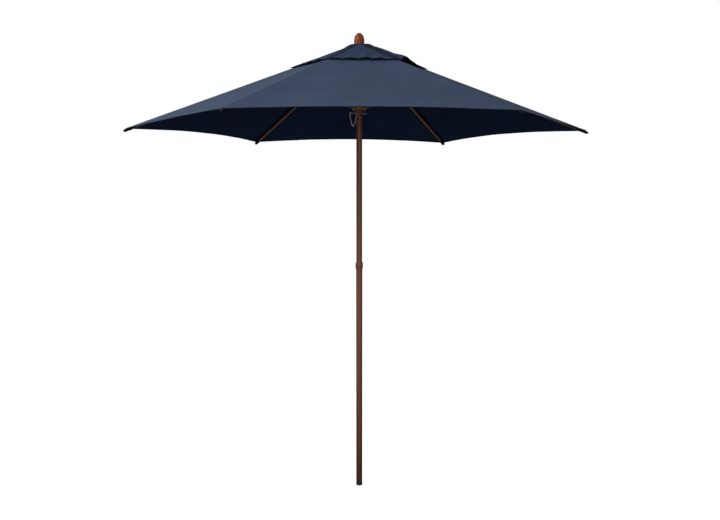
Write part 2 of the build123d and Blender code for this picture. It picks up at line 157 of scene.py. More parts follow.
# --- materials -------------------------------------------------------------------------------------
class Graph:
    """A material's node tree, built by calls that take sockets or plain values and give a socket back."""

    def __init__(self, name):
        self.mat = bpy.data.materials.new(name)
        self.mat.use_nodes = True
        self.tree = self.mat.node_tree
        self.tree.nodes.clear()
        output = self.tree.nodes.new("ShaderNodeOutputMaterial")
        self.shader = self.tree.nodes.new("ShaderNodeBsdfPrincipled")
        self.tree.links.new(self.shader.outputs[0], output.inputs[0])

    def node(self, kind, inputs=None, out=0, **props):
        n = self.tree.nodes.new("ShaderNode" + kind)
        for key, value in props.items():
            setattr(n, key, value)
        for key, value in (inputs or {}).items():
            self.put(n.inputs[key], value)
        return n.outputs[out]

    def put(self, socket, value):
        if isinstance(value, bpy.types.NodeSocket):
            self.tree.links.new(value, socket)
        else:
            socket.default_value = value

    def set(self, **values):
        for key, value in values.items():
            self.put(self.shader.inputs[key.replace("_", " ")], value)
        return self.mat

    def attribute(self, name):
        return self.node("Attribute", out="Fac", attribute_name=name)

    def split(self, vector):
        return self.node("SeparateXYZ", {0: vector}).node.outputs

    def math(self, op, a, b=0.0, c=0.0):
        return self.node("Math", {0: a, 1: b, 2: c}, operation=op)

    def wave(self, value, pitch):
        return self.math("SINE", self.math("MULTIPLY", value, 2 * pi / pitch))

    def remap(self, value, lo, hi, at_lo=0.0, at_hi=1.0, **props):
        """The value's range from lo to hi taken to at_lo and at_hi, and held there beyond."""
        return self.node("MapRange", {0: value, 1: lo, 2: hi, 3: at_lo, 4: at_hi}, **props)

    def mix(self, factor, a, b):
        n = self.tree.nodes.new("ShaderNodeMix")
        n.data_type = "RGBA"
        self.put(n.inputs[0], factor)
        self.put(n.inputs[6], a)
        self.put(n.inputs[7], b)
        return n.outputs[2]

    def ramp(self, factor, stops):
        n = self.tree.nodes.new("ShaderNodeValToRGB")
        self.put(n.inputs[0], factor)
        while len(n.color_ramp.elements) < len(stops):
            n.color_ramp.elements.new(0.5)
        for element, (place, colour) in zip(n.color_ramp.elements, stops):
            element.position, element.color = place, colour
        return n.outputs[0]

    def noise(self, vector, scale, detail=3.0, rough=0.55, **more):
        inputs = {"Vector": vector, "Scale": scale, "Detail": detail, "Roughness": rough, **more}
        return self.node("TexNoise", inputs)

    def scaled(self, vector, scale):
        return self.node("Mapping", {"Vector": vector, "Scale": scale})

    def turned(self, vector, rotation):
        return self.node("Mapping", {"Vector": vector, "Rotation": rotation})

    def bump(self, height, distance, strength, normal=None):
        inputs = {"Height": height, "Distance": distance, "Strength": strength}
        if normal is not None:
            inputs["Normal"] = normal
        return self.node("Bump", inputs)


def grey(v):
    return (v, v, v, 1)


def rgb(*channels):
    """sRGB 0 to 255 as linear colour."""
    shares = [c / 255 for c in channels]
    return (*(c / 12.92 if c <= 0.04045 else ((c + 0.055) / 1.055) ** 2.4 for c in shares), 1)


def shade(colour, share):
    return (*(c * share for c in colour[:3]), 1)


def cloth_material(name, colour, light, dark, specular=0.1, sheen=0.008, ridge_shade_width=0.0):
    """Coated polyester: plain weave, faint streaks of wear, seams and hems with two rows of stitches."""
    g = Graph(name)
    uv = g.node("TexCoord", out="UV")
    u, v, _ = g.split(uv)
    seam, hem, along = g.attribute("seam"), g.attribute("hem"), g.attribute("along")
    weave = g.math("MULTIPLY", g.wave(u, THREAD_PITCH), g.wave(v, THREAD_PITCH))
    # uneven dye and dust
    broad = g.noise(uv, 2.6, 4.0)
    cloud = g.noise(g.scaled(uv, (9, 2.2, 1)), 1.4, 5.0, 0.6)
    mottled = g.math("ADD", g.math("MULTIPLY", broad, 0.6), g.math("MULTIPLY", cloud, 0.4))
    base = g.mix(g.remap(mottled, 0.32, 0.68), dark, light)
    base = g.mix(g.math("MULTIPLY_ADD", weave, 0.05, 0.05), base, light)
    # stitches: two rows beside each seam and hem
    rows = []
    for line, places in ((seam, SEAM_STITCHES), (hem, HEM_STITCHES)):
        for place in places:
            off = g.math("ABSOLUTE", g.math("SUBTRACT", line, place))
            rows.append(g.remap(off, *STITCH_EDGE, 1.0, 0.0))
    stitched = rows[0]
    for row in rows[1:]:
        stitched = g.math("MAXIMUM", stitched, row)
    thread = g.math("MULTIPLY", stitched, g.remap(g.wave(along, STITCH_PITCH), -0.4, 0.1))
    base = g.mix(g.math("MULTIPLY", stitched, 0.45), base, dark)
    base = g.mix(g.math("MULTIPLY", thread, 0.5), base, light)
    # painted shade along the hem's folded edge; the ridges' seams are darker too
    hem_edge_shade = g.remap(hem, *HEM_SHADE, 1.0, 0.0)
    base = g.mix(g.math("MULTIPLY", hem_edge_shade, 0.75), base, colour)
    base = g.mix(g.remap(seam, *RIDGE_DARK, 0.7, 0.0), base, colour)
    if ridge_shade_width:
        # painted shade: darker bands along both sides of each ridge, for the shade in the creases beside
        # them
        ridge_shade_band = g.remap(seam, 0.5 * ridge_shade_width, ridge_shade_width, 0.85, 0.0, interpolation_type="SMOOTHSTEP")
        uneven = g.remap(cloud, 0.2, 0.6, 0.8, 1.0)
        base = g.mix(g.math("MULTIPLY", ridge_shade_band, uneven), base, colour)
    # small creases, and puckers beside the stitches
    crease = g.noise(g.scaled(uv, (14, 5, 1)), 2.2, 2.0, 0.5)
    near_edge = g.remap(g.math("MINIMUM", seam, hem), *PUCKER_REACH, 1.0, 0.0)
    pucker = g.math("MULTIPLY", g.wave(along, PUCKER_PITCH), near_edge)
    relief = g.bump(crease, 0.004, 0.35)
    relief = g.bump(pucker, 0.0006, 0.5, relief)
    relief = g.bump(g.math("SUBTRACT", thread, stitched), 0.0004, 0.7, relief)
    relief = g.bump(weave, 0.00012, 0.5, relief)
    rough = g.remap(cloud, 0.2, 0.8, 0.62, 0.86)
    return g.set(Base_Color=base, Roughness=rough, Normal=relief, Specular_IOR_Level=specular,
                 Sheen_Weight=sheen, Sheen_Roughness=0.5)


def wood_material(name, light, dark, gloss, azimuth=0.0, slope=0.0, upright=False, coat=0.25, flank_shade=0.0,
                  specular=0.5):
    """Varnished wood with the grain along the piece, which slopes at an azimuth or stands upright."""
    g = Graph(name)
    level = g.turned(g.node("TexCoord", out="Object"), (0, 0, -radians(azimuth)))
    level = g.turned(level, (0, -slope, 0))
    stretch = (70, 70, 2.6) if upright else (2.6, 70, 70)
    fibres = g.noise(g.scaled(level, stretch), 2.2, 6.0, 0.62, Distortion=0.4)
    rings = g.noise(g.scaled(level, tuple(s * 0.25 for s in stretch)), 1.6, 3.0, 0.5, Distortion=0.8)
    pores = g.noise(g.scaled(level, tuple(s * 4 for s in stretch)), 3.0, 2.0, 0.5)
    tone = g.math("ADD", g.math("MULTIPLY", fibres, 0.6), g.math("MULTIPLY", rings, 0.4))
    middle = tuple((a + b) / 2 for a, b in zip(light, dark))
    base = g.ramp(tone, [(0.32, dark), (0.47, middle), (0.62, light)])
    base = g.mix(g.remap(pores, 0.62, 0.78, 0.0, 0.55), base, shade(dark, 0.45))
    # edges are worn lighter, and hollows are darker
    worn = g.node("NewGeometry", out="Pointiness")
    base = g.mix(g.remap(worn, 0.53, 0.60, 0.0, 0.35), base, light)
    base = g.mix(g.remap(worn, 0.47, 0.42, 0.0, 0.7), base, shade(dark, 0.4))
    if flank_shade:
        # painted shade: upright sides darker than the faces that look up and down
        facing = g.split(g.node("TexCoord", out="Normal"))[2]
        sides = g.remap(g.math("ABSOLUTE", facing), 0.45, 0.85, flank_shade, 0.0)
        base = g.mix(sides, base, shade(dark, 0.22))
    rough = g.remap(fibres, 0.3, 0.7, gloss + 0.14, gloss - 0.06)
    relief = g.bump(fibres, 0.0006, 0.35)
    relief = g.bump(pores, 0.0002, 0.3, relief)
    return g.set(Base_Color=base, Roughness=rough, Normal=relief, Coat_Weight=coat, Coat_Roughness=0.18,
                 Specular_IOR_Level=specular)


def pole_material():
    """Brown paint with a printed lengthwise grain, darker towards the foot, rubbed lighter in patches."""
    g = Graph("pole_paint")
    place = g.node("TexCoord", out="Object")
    height = g.split(place)[2]
    streaks = g.noise(g.scaled(place, (95, 95, 1.1)), 1.6, 5.0, 0.6, Distortion=0.2)
    bands = g.noise(g.scaled(place, (26, 26, 0.5)), 1.3, 3.0, 0.5)
    specks = g.noise(place, 900, 2.0)
    tone = g.math("ADD", g.math("MULTIPLY", streaks, 0.55), g.math("MULTIPLY", bands, 0.45))
    base = g.ramp(tone, [(0.30, rgb(86, 46, 31)), (0.5, rgb(120, 74, 52)), (0.72, rgb(148, 99, 73))])
    base = g.mix(g.remap(height, 1.2, 0.1, 0.0, 0.85), base, rgb(54, 25, 16))
    rub = g.noise(g.scaled(place, (40, 40, 14)), 1.5, 5.0, 0.7)
    base = g.mix(g.remap(rub, 0.66, 0.76, 0.0, 0.35), base, rgb(150, 118, 96))
    rough = g.remap(streaks, 0.3, 0.7, 0.36, 0.52)
    relief = g.bump(streaks, 0.0004, 0.3)
    relief = g.bump(specks, 0.00005, 0.4, relief)
    return g.set(Base_Color=base, Roughness=rough, Normal=relief, Specular_IOR_Level=0.3, Coat_Weight=0.08,
                 Coat_Roughness=0.25)


def metal_material(name, bright, dull, rough, metallic, brushed=(60, 60, 900)):
    """Steel with brushing, fingerprints and a little tarnish."""
    g = Graph(name)
    place = g.node("TexCoord", out="Object")
    brush = g.noise(g.scaled(place, brushed), 3.0, 3.0)
    stain = g.noise(place, 90, 5.0, 0.6)
    base = g.mix(g.remap(stain, 0.42, 0.7), bright, dull)
    worn = g.node("NewGeometry", out="Pointiness")
    base = g.mix(g.remap(worn, 0.47, 0.42, 0.0, 0.6), base, shade(dull, 0.3))
    roughness = g.remap(g.math("ADD", brush, stain), 0.7, 1.3, rough - 0.08, rough + 0.16)
    return g.set(Base_Color=base, Metallic=metallic, Roughness=roughness, Normal=g.bump(brush, 0.00006, 0.5))


def plastic_material(name, colour, rough):
    """Moulded plastic with a fine spark-eroded texture and scuffs."""
    g = Graph(name)
    place = g.node("TexCoord", out="Object")
    grain = g.noise(place, 1600, 2.0)
    scuff = g.noise(g.scaled(place, (50, 50, 120)), 1.0, 6.0, 0.7)
    pale = (*(min(1, c * 2.2 + 0.02) for c in colour[:3]), 1)
    base = g.mix(g.remap(scuff, 0.58, 0.8, 0.0, 0.4), colour, pale)
    roughness = g.remap(scuff, 0.3, 0.7, rough, rough + 0.2)
    return g.set(Base_Color=base, Roughness=roughness, Normal=g.bump(grain, 0.00008, 0.4))


canopy_cloth = cloth_material("canopy_cloth", rgb(10, 13, 22), rgb(50, 62, 87), rgb(42, 53, 76))
# cap cloth, with painted shade in bands along both sides of each ridge
cap_cloth = cloth_material("cap_cloth", rgb(17, 24, 41), rgb(45, 56, 79), rgb(38, 48, 69),
                           specular=0.03, sheen=0.0, ridge_shade_width=0.040)
# painted shade: the inside of the canopy and cap is a darker copy of the canopy cloth, for the shade under
# the canopy
canopy_inside_shaded = cloth_material("canopy_inside_shaded", rgb(6, 10, 19), rgb(36, 51, 82), rgb(25, 39, 68),
                               specular=0.02, sheen=0.0)
# near-black cloth of the corner pockets; inside the rib strips it is painted shade beside the ribs
pocket_cloth_and_seam_shade = cloth_material("pocket_cloth_and_seam_shade", rgb(5, 6, 10), rgb(20, 23, 34), rgb(10, 12, 20),
                              specular=0.06, sheen=0.0)
steel = metal_material("steel_brushed", rgb(212, 214, 218), rgb(140, 138, 136), 0.32, 0.7)
chain_steel = metal_material("steel_chain", rgb(236, 238, 242), rgb(176, 176, 178), 0.42, 0.15,
                             brushed=(300, 300, 300))
bracket_steel = metal_material("steel_painted", rgb(62, 56, 50), rgb(36, 32, 30), 0.45, 0.3)
black_plastic = plastic_material("plastic_black", rgb(22, 20, 20), 0.5)
liner_plastic = plastic_material("plastic_liner", rgb(38, 34, 32), 0.42)
hub_wood = wood_material("wood_hub", rgb(182, 124, 44), rgb(112, 68, 20), 0.32, upright=True)
neck_wood = wood_material("wood_neck", rgb(122, 66, 38), rgb(74, 36, 20), 0.3, upright=True)
finial_wood = wood_material("wood_finial", rgb(134, 62, 20), rgb(86, 34, 9), 0.44, upright=True,
                            coat=0.03, specular=0.2)
pole_paint = pole_material()


def frame_wood(name, light, dark, azimuth, slope):
    # ribs and struts, with painted shade on their upright sides
    return wood_material(name, light, dark, 0.5, azimuth, slope, coat=0.04, flank_shade=0.85)


def paint(names, material):
    for name in names:
        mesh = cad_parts[name].data
        mesh.materials.clear()
        mesh.materials.append(material)


paint(["lower_pole", "upper_pole", "pole_collar"], pole_paint)
paint(["foot_cap", "pole_stop"], black_plastic)
paint(["runner_liner"], liner_plastic)
paint(["crown_hub", "runner_hub"], hub_wood)
paint(["runner_neck"], neck_wood)
paint(["finial"], finial_wood)
paint(["crown_pins", "crown_screws", "finial_stud", "chain_eye", "lock_pin"], steel)
paint(["chain_ring"], chain_steel)
for k in range(1, RIBS + 1):
    azimuth = RIB_TURN * (k - 1)
    lo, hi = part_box(f"strut_{k}")
    strut_slope = -atan2(hi.z - lo.z, hypot(hi.x - lo.x, hi.y - lo.y))
    rib_wood = frame_wood(f"wood_rib_{k}", rgb(166, 124, 98), rgb(104, 72, 54), azimuth, SLOPE_RIB)
    strut_wood = frame_wood(f"wood_strut_{k}", rgb(118, 80, 56), rgb(72, 46, 32), azimuth, strut_slope)
    paint([f"rib_{k}"], rib_wood)
    paint([f"strut_{k}"], strut_wood)
    paint([f"rib_bracket_{k}", f"rib_tip_{k}"], bracket_steel)
    paint([f"strut_pin_{k}"], steel)


# --- meshes ------------------------------------------------------------------------------------------
def link_object(name, data):
    obj = bpy.data.objects.new(name, data)
    bpy.context.scene.collection.objects.link(obj)
    return obj


def smooth_mesh(name, verts, faces, materials):
    mesh = bpy.data.meshes.new(name)
    mesh.from_pydata(np.array(verts).tolist(), [], faces)
    mesh.polygons.foreach_set("use_smooth", [True] * len(mesh.polygons))
    for material in materials:
        mesh.materials.append(material)
    return mesh


def add_attribute(mesh, name, values):
    """Values at the mesh's points, which the cloth materials read."""
    attribute = mesh.attributes.new(name, "FLOAT", "POINT")
    attribute.data.foreach_set("value", values.astype(np.float32))


# --- cloth surface -----------------------------------------------------------------------------------
def cap_flutter(g, t):
    """How far the cap's hem stands up, at t from -1 to 1 across gore g."""
    if g == FRONT_LEFT:
        return 0.004 + 0.003 * np.sin(t * 13 + 0.6)
    if g == FRONT:
        return 0.0028 + 0.0022 * np.sin(t * 15 + 0.6) + 0.004 * np.exp(-((t - 0.12) / 0.09) ** 2)
    if g == FRONT_RIGHT:
        return 0.026 * np.exp(-((t + 0.42) / 0.5) ** 2) + 0.002 * np.sin(t * 9)
    return 0.007 * np.sin(t * 6 + g) + 0.006


class Cloth:
    """One layer of the canopy. A point is (gore, q, y): q down the gore's middle from the apex, y across."""

    def __init__(self, apex, inner, outer, arch, cap):
        self.apex, self.cap, self.arch = apex, cap, arch
        self.q_in, self.q_out = (r * cos(HALF_GORE) / cos(SLOPE_PANEL) for r in (inner, outer))
        self.half = outer / 2

    def hem(self, y):
        return self.q_out - self.arch * np.clip(1 - (y / self.half) ** 2, 0, 1)

    def ridge_gap(self, q, y):
        """Level distance from the ridge, square to it."""
        return q * cos(SLOPE_PANEL) * 0.5 - np.abs(y) * cos(HALF_GORE)

    def height(self, g, q, y):
        """Height of the cloth above the gore's plane: a rounded ridge and, on the canopy, sag and pull."""
        b = self.ridge_gap(q, y)
        rounded = RIDGE_ROUND + b - np.sqrt(b * b + RIDGE_ROUND ** 2)
        h = RIDGE_FALL * cos(SLOPE_PANEL) * rounded * np.exp(-(b / RIDGE_FADE) ** 2)
        if self.cap:
            return h
        # sag between the ribs, a little different in each gore
        middle = q * cos(SLOPE_PANEL) * 0.5 + 1e-6
        widest = np.sqrt(middle ** 2 + BOW_ROUND ** 2) - BOW_ROUND
        across = np.clip((np.sqrt(b * b + BOW_ROUND * BOW_ROUND) - BOW_ROUND) / widest, 0, 1)
        bow = 1 - (1 - across) ** 2
        s = (q - self.q_in) / (self.hem(y) - self.q_in)
        depth = SAG * np.sin(pi * np.clip(s, 0, 1)) ** 0.8 + HEM_SAG * smooth(0.6, 1, s)
        h = h - depth * bow * (0.85 + 0.3 * ((g * 37) % 5) / 5)
        # unevenness, less near the hem and none on the ridges
        fade = smooth(0.004, 0.055, b)
        calm = 1 - 0.7 * smooth(0.8, 1, s)
        h = h + fade * calm * BROAD_HEIGHT * ripples(q + g * 7.1, y, 11 + g, BROAD_WAVE)
        h = h + fade * calm * FINE_HEIGHT * ripples(q, y * 2.2 + g * 3.0, 31 + g, FINE_WAVE)
        # pull lines from the gore's two outer corners
        for way in (-1, 1):
            dq, dy = self.q_out - q, self.half - way * y
            rho, phi = np.hypot(dq, dy), np.arctan2(dy, dq)
            near = np.exp(-(rho / PULL_REACH) ** 2) * np.minimum(rho / PULL_START, 1)
            h = h + fade * PULL_HEIGHT * (np.sin(phi * 26 + g + way) * near)
        # hem turned under
        return h - HEM_ROLL * (1 - smooth(0.0, HEM_ROLL_WIDTH, self.hem(y) - q))

    def lift(self, g, q, y):
        """Straight up: the cap's shoulder round the finial's foot, its fluttering hem and its billow."""
        if not self.cap:
            return np.zeros_like(q)
        # round near the finial, where the gores' planes are six-sided
        r = np.hypot(q * cos(SLOPE_PANEL), y)
        plane_z = -np.tan(SLOPE_PANEL) * q * cos(SLOPE_PANEL)
        cone_z = -tan(SLOPE_RIB) * r
        z = (cone_z - plane_z) * (1 - smooth(*CAP_ROUND, r))
        z = z + SHOULDER * smooth(*SHOULDER_UP, r) * (1 - smooth(*SHOULDER_DOWN, r))
        s = np.clip((q - CAP_LOOSE_Q) / (self.q_out - CAP_LOOSE_Q), 0, 1.1)
        t = np.clip(y / (q * TAN_GORE + 1e-9), -1, 1)
        flutter = cap_flutter(g, t) * np.clip((1 - t * t) * 1.6, 0, 1) + CAP_HEM_RISE
        z = z + smooth(0.45, 1.0, s) ** 1.6 * flutter
        billow = CAP_BILLOW.get(g, CAP_BILLOW_ELSEWHERE)
        return z + billow * (1 - np.abs(t) ** 3.2) * np.sin(pi * np.clip(s, 0, 1) ** 0.8) ** 0.9

    def point(self, g, q, y):
        down, side, normal = gore_axes(g)
        p = q[..., None] * down + y[..., None] * side + self.height(g, q, y)[..., None] * normal
        p[..., 2] += self.apex + self.lift(g, q, y)
        return p

    def normal(self, g, q, y):
        d = 0.0004
        sign = np.where(y < 0, -1.0, 1.0)
        dq = self.point(g, q + d, y) - self.point(g, q - d, y)
        dy = (self.point(g, q, y) - self.point(g, q, y - sign * d)) * sign[..., None]
        n = np.cross(dq, dy)
        return n / np.linalg.norm(n, axis=-1, keepdims=True)


# --- pieces of cloth ---------------------------------------------------------------------------------
SIDES = (canopy_cloth, canopy_inside_shaded)
CAP_SIDES = (cap_cloth, canopy_inside_shaded)
# painted shade: the rib strips' inside is near-black, for the shade beside each rib
SEAM_SIDES_SHADED = (canopy_cloth, pocket_cloth_and_seam_shade)
OUTSIDE, INSIDE = 0, 1          # places of the two materials on a piece
SETTLE = 60                     # rounds for a grid to settle on the arched hem

# A grid of points with what belongs to each. Where flip is true, its columns run clockwise.
Patch = namedtuple("Patch", "top normal uv seam hem along thick flip")


def rows_down(count, hem_rows):
    """Values from 0 to 1: an even stretch, then rows at the distances from 1 that the hem needs."""
    return np.concatenate([np.linspace(0, 1 - hem_rows[0], count), 1 - np.array(hem_rows[1:]), [1.0]])


def half_grid(cloth, s, v):
    """(q, y) of half a gore, with v from its ridge strip to the gore's middle."""
    top = np.maximum(cloth.q_in, (STRIP / 0.5) / cos(SLOPE_PANEL))
    q = np.full(s.shape, 0.5 * (cloth.q_in + cloth.q_out))
    for _ in range(SETTLE):
        strip_y = (q * cos(SLOPE_PANEL) * 0.5 - STRIP) / cos(HALF_GORE)
        y = np.maximum(strip_y, 0) * (1 - v)
        q = top + s * (cloth.hem(y) - top)
    return q, y


def strip_grid(cloth, s, v):
    """(q, y) of half a ridge strip, with v from the ridge out."""
    b = v * STRIP
    top = cloth.q_in
    if cloth.cap:
        # the strip's upper end is square to its rib, at the top patch's edge
        top = (TOP_R * cos(HALF_GORE) + b * 0.5) / cos(SLOPE_PANEL)
    q = np.full(s.shape, 0.5 * (cloth.q_in + cloth.q_out))
    for _ in range(SETTLE):
        y = (q * cos(SLOPE_PANEL) * 0.5 - b) / cos(HALF_GORE)
        q = top + s * (cloth.hem(np.maximum(y, 0)) - top)
    return q, np.maximum(y, 0)


def cloth_patch(cloth, g, way, s, v, layout):
    """The part of gore g on side `way` of its middle, laid out by half_grid or strip_grid."""
    q, y = layout(cloth, *np.meshgrid(s, v, indexing="ij"))
    y = way * y
    top, normal = cloth.point(g, q, y), cloth.normal(g, q, y)
    uv = np.stack([y + UV_STEP * g, q], -1)
    hem = cloth.hem(y) - q
    if not cloth.cap:
        # the vent's edge is a hem too, a little wider
        hem = np.minimum(hem, (q - cloth.q_in) * 0.8)
    seam = cloth.ridge_gap(q, y)
    # stitches run along the ridge or the hem, whichever is nearer
    along = np.where(seam < hem, q, y + 5.0)
    thick = CLOTH + HEM_EXTRA * (1 - smooth(*HEM_FOLD, hem)) + SEAM_EXTRA * (1 - smooth(*SEAM_FOLD, seam))
    top = top + normal * ((thick - CLOTH) * 0.3)[..., None]
    return Patch(top, normal, uv, seam, hem, along, thick, way > 0)


def patch_faces(patch, top, low, normals):
    """Quads of the patch's outside, inside and rim: their points, corner normals and material."""
    r, c = patch.thick.shape
    size = r * c
    quads = []
    for i in range(r - 1):
        for j in range(c - 1):
            a, b, d, e = i * c + j, (i + 1) * c + j, (i + 1) * c + j + 1, i * c + j + 1
            quads.append(([a, b, d, e], [normals[n] for n in (a, b, d, e)], OUTSIDE))
            quads.append(([size + n for n in (e, d, b, a)], [-normals[n] for n in (e, d, b, a)], INSIDE))
    ring = [(0, j) for j in range(c - 1, 0, -1)] + [(i, 0) for i in range(r - 1)]
    ring += [(r - 1, j) for j in range(c - 1)] + [(i, c - 1) for i in range(r - 1, 0, -1)]
    ids = [i * c + j for i, j in ring]
    for a, b in zip(ids, ids[1:] + ids[:1]):
        out = np.cross(low[a] - top[a], top[b] - top[a])
        length = np.linalg.norm(out)
        out = out / length if length > 1e-12 else normals[a]
        quads.append(([a, size + a, size + b, b], [-out if patch.flip else out] * 4, INSIDE))
    if patch.flip:
        quads = [(points[::-1], corners[::-1], side) for points, corners, side in quads]
    return quads


def shell(patches, name, materials):
    """One piece of cloth, with its thickness, from patches that are each closed all round."""
    verts, faces, corners, uvs, sides = [], [], [], [], []
    for patch in patches:
        base = sum(len(v) for v in verts)
        top = patch.top.reshape(-1, 3)
        low = (patch.top - patch.normal * patch.thick[..., None]).reshape(-1, 3)
        uv = patch.uv.reshape(-1, 2)
        verts += [top, low]
        for points, normals, side in patch_faces(patch, top, low, patch.normal.reshape(-1, 3)):
            faces.append([base + n for n in points])
            corners += normals
            uvs += [uv[n % len(uv)] for n in points]
            sides.append(side)
    mesh = smooth_mesh(name, np.concatenate(verts), faces, materials)
    mesh.uv_layers.new(name="cloth").data.foreach_set("uv", np.array(uvs, np.float32).ravel())
    for key in ("seam", "hem", "along"):
        values = [getattr(patch, key).ravel() for patch in patches]
        add_attribute(mesh, key, np.concatenate([v for value in values for v in (value, value)]))
    mesh.normals_split_custom_set([tuple(n) for n in corners])
    mesh.polygons.foreach_set("material_index", sides)
    return link_object(name, mesh)


def fold_with_rib(piece, k, way, apex):
    """The half gore on side `way` of rib k moves with its rib, on a mesh of its own."""
    _, side, normal = rib_axes(k)
    edge = compass(RIB_TURN * (k - 1))[0] * FOLD_R + way * STRIP * side
    edge[2] = apex - tan(SLOPE_PANEL) * (FOLD_R * cos(HALF_GORE) + STRIP * 0.5)
    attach(piece, f"rib_{k}")
    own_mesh(piece)


main = Cloth(APEX_Z, VENT_R, PANEL_R, HEM_ARCH, cap=False)
cap = Cloth(APEX_Z + CAP_LIFT, 0.0, CAP_R, CAP_ARCH, cap=True)
main_rows = rows_down(56, (0.022, 0.018, 0.0155, 0.006, 0.003))
cap_rows = rows_down(26, (0.055, 0.045, 0.038, 0.014, 0.006))
across_half = np.linspace(0, 1, 27)
across_strip = np.array([0, 0.05, 0.11, 0.2, 0.35, 0.4, 0.52, 0.75, 1.0])


def add_layer(k, cloth, s, tag, sides, strip_sides):
    """The half gores on both sides of rib k, and the strip on the rib, whose flat length is given."""
    right, left = k - 1, (k - 2) % RIBS       # the gores on the rib's higher and lower azimuth side
    for g, way, end in ((right, -1, "a"), (left, 1, "b")):
        patch = cloth_patch(cloth, g, way, s, across_half, half_grid)
        half = shell([patch], f"{tag}_gore_{g + 1}{end}", sides)
        fold_with_rib(half, k, -way, cloth.apex)
        if cloth.cap:
            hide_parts("vent_cap")
        else:
            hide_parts(f"canopy_panel_{g + 1}")
    strip = shell([cloth_patch(cloth, right, -1, s, across_strip, strip_grid),
                   cloth_patch(cloth, left, 1, s, across_strip, strip_grid)], f"{tag}_seam_{k}", strip_sides)
    if cloth.cap:
        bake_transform(strip)
    else:
        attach(strip, f"rib_{k}")


for k in range(1, RIBS + 1):
    add_layer(k, main, main_rows, "canopy", SIDES, SEAM_SIDES_SHADED)
    add_layer(k, cap, cap_rows, "cap", CAP_SIDES, CAP_SIDES)


def top_patch():
    """The cap's middle, held under the finial: a hexagon whose rim tucks under the rib strips."""
    patches = []
    s, v = np.meshgrid(np.linspace(0, 1, 20), np.linspace(0, 1, 9), indexing="ij")
    # polar grid between the eye and the hexagon's edge, from the ridge to the gore's middle
    turn = HALF_GORE * (1 - v)
    reach = TOP_R / np.cos(HALF_GORE - turn)
    r = CAP_EYE_R + s * (reach - CAP_EYE_R)
    q = r * np.cos(turn) / cos(SLOPE_PANEL)
    far = np.full(q.shape, 0.2)
    for g in range(RIBS):
        for way in (-1, 1):
            y = way * r * np.sin(turn)
            uv = np.stack([y + UV_STEP * g, q], -1)
            patches.append(Patch(cap.point(g, q, y), cap.normal(g, q, y), uv, cap.ridge_gap(q, y), far, q,
                                 np.full(q.shape, CLOTH), way > 0))
    return shell(patches, "cap_top", CAP_SIDES)


cap_top = top_patch()
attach(cap_top, "upper_pole")
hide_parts("vent_cap")


# --- corner pockets ------------------------------------------------------------------------------------
def power(x, exponent):
    """Power of x that keeps its sign."""
    return abs(x) ** exponent * (1 if x > 0 else -1)


def sleeve(first, rings, count, inward):
    """Faces between neighbouring rings of `count` points each, from point number `first` on."""
    faces = []
    for i in range(rings - 1):
        near, far = first + i * count, first + (i + 1) * count
        for j in range(count):
            m = (j + 1) % count
            outwards = [near + m, far + m, far + j, near + j]
            faces.append([far + j, far + m, near + m, near + j] if inward else outwards)
    return faces


def pocket(k):
    """Cloth sleeve sewn under a canopy corner, open towards the rib, puffed round the rib's peg."""
    along, side, normal = rib_axes(k)
    origin = at(RIB_TURN * (k - 1), PIVOT_R, PIVOT_Z)
    length = POCKET[1] - POCKET[0]
    shares = np.concatenate([np.linspace(0, 0.85, 16), [0.91, 0.95, 0.98, 1.0]])
    turns = np.linspace(0, 2 * pi, 41)[:-1]
    outer, inner = [], []
    for share in shares:
        full = 1 - POCKET_TAPER * smooth(0.80, 1.0, share) ** 2
        wide = POCKET_WIDE * full * (1 + 0.04 * sin(share * 19 + k))
        deep = POCKET_DEEP * full * (1 + 0.05 * sin(share * 15 + 2 * k))
        place = origin + along * (POCKET[0] + share * length)
        for t in turns:
            px = wide * power(cos(t), POCKET_SQUARE)
            py = deep * power(sin(t), POCKET_SQUARE) + 0.0003 * sin(5 * t + 30 * share)
            outer.append(place + side * px + normal * (POCKET_RISE + py))
            inner.append(place + side * px * POCKET_BORE[0] + normal * (POCKET_RISE + py * POCKET_BORE[1]))
    count = len(turns)
    depth = len(shares) - 3     # rings in the hole, which ends short of the pocket's closed end
    outer_end = origin + along * (POCKET[1] + 0.0004) + normal * POCKET_RISE
    inner_end = origin + along * (POCKET[0] + shares[depth - 1] * length) + normal * POCKET_RISE
    verts = outer + inner[:depth * count] + [outer_end, inner_end]
    bore = len(outer)
    last, stop, end = bore - count, bore + (depth - 1) * count, len(verts) - 2
    faces = sleeve(0, len(shares), count, inward=False) + sleeve(bore, depth, count, inward=True)
    for j in range(count):
        m = (j + 1) % count
        faces.append([bore + j, bore + m, m, j])
        faces.append([last + m, end, last + j])
        faces.append([end + 1, stop + m, stop + j])
    mesh = smooth_mesh(f"pocket_{k}", verts, faces, [pocket_cloth_and_seam_shade])
    spots = np.array([vertex.co for vertex in mesh.vertices]) - origin
    run, across, rise = spots @ along, spots @ side, spots @ normal
    layer = mesh.uv_layers.new(name="cloth")
    for loop in mesh.loops:
        n = loop.vertex_index
        layer.data[loop.index].uv = (across[n] * 1.5 + rise[n], run[n])
    add_attribute(mesh, "seam", 0.004 + np.abs(rise - 0.004))
    add_attribute(mesh, "hem", run - POCKET[0])
    add_attribute(mesh, "along", run + across)
    obj = link_object(f"pocket_{k}", mesh)
    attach(obj, f"rib_{k}")
    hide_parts(f"corner_pocket_{k}")


for k in range(1, RIBS + 1):
    pocket(k)


